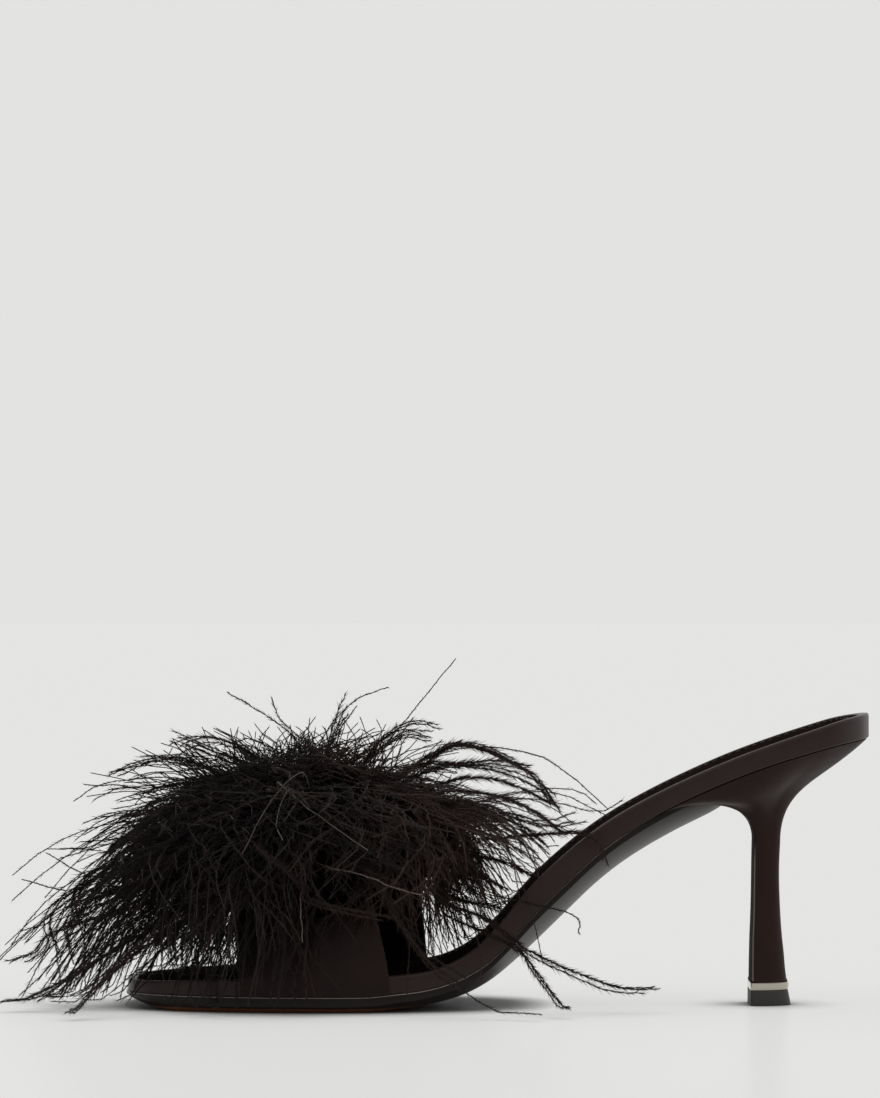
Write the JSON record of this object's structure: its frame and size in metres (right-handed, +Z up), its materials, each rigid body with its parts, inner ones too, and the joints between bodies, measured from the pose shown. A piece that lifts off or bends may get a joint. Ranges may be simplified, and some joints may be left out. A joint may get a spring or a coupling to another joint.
{
  "type": "slide sandal",
  "caption": "High-heeled open-toe slide sandal in dark leather, with a wide vamp strap under a feather puff and a slim flared heel on a metal-edged tip.",
  "frame": {"origin": "on the floor, in the middle of the outsole's flat tread under the forefoot", "axes": "+Z up, -X towards the toe, +X towards the heel, -Y towards the outer side of the left foot"},
  "size_m": [0.2691, 0.1775, 0.1031],
  "materials": {
    "outsole_leather": "satin, tan tread",
    "cover_leather": "satin",
    "sock_leather": "soft",
    "strap_leather": "satin",
    "feather": "soft",
    "heel_leather": "satin",
    "polished_steel": "polished",
    "heel_rubber": "matte"
  },
  "bodies": {
    "root": {"outsole": "outsole_leather", "footbed": "cover_leather", "insole": "sock_leather", "upper": "strap_leather", "feather_trim": "feather", "heel": "heel_leather", "heel_band": "polished_steel", "top_piece": "heel_rubber"}
  },
  "joints": []
}
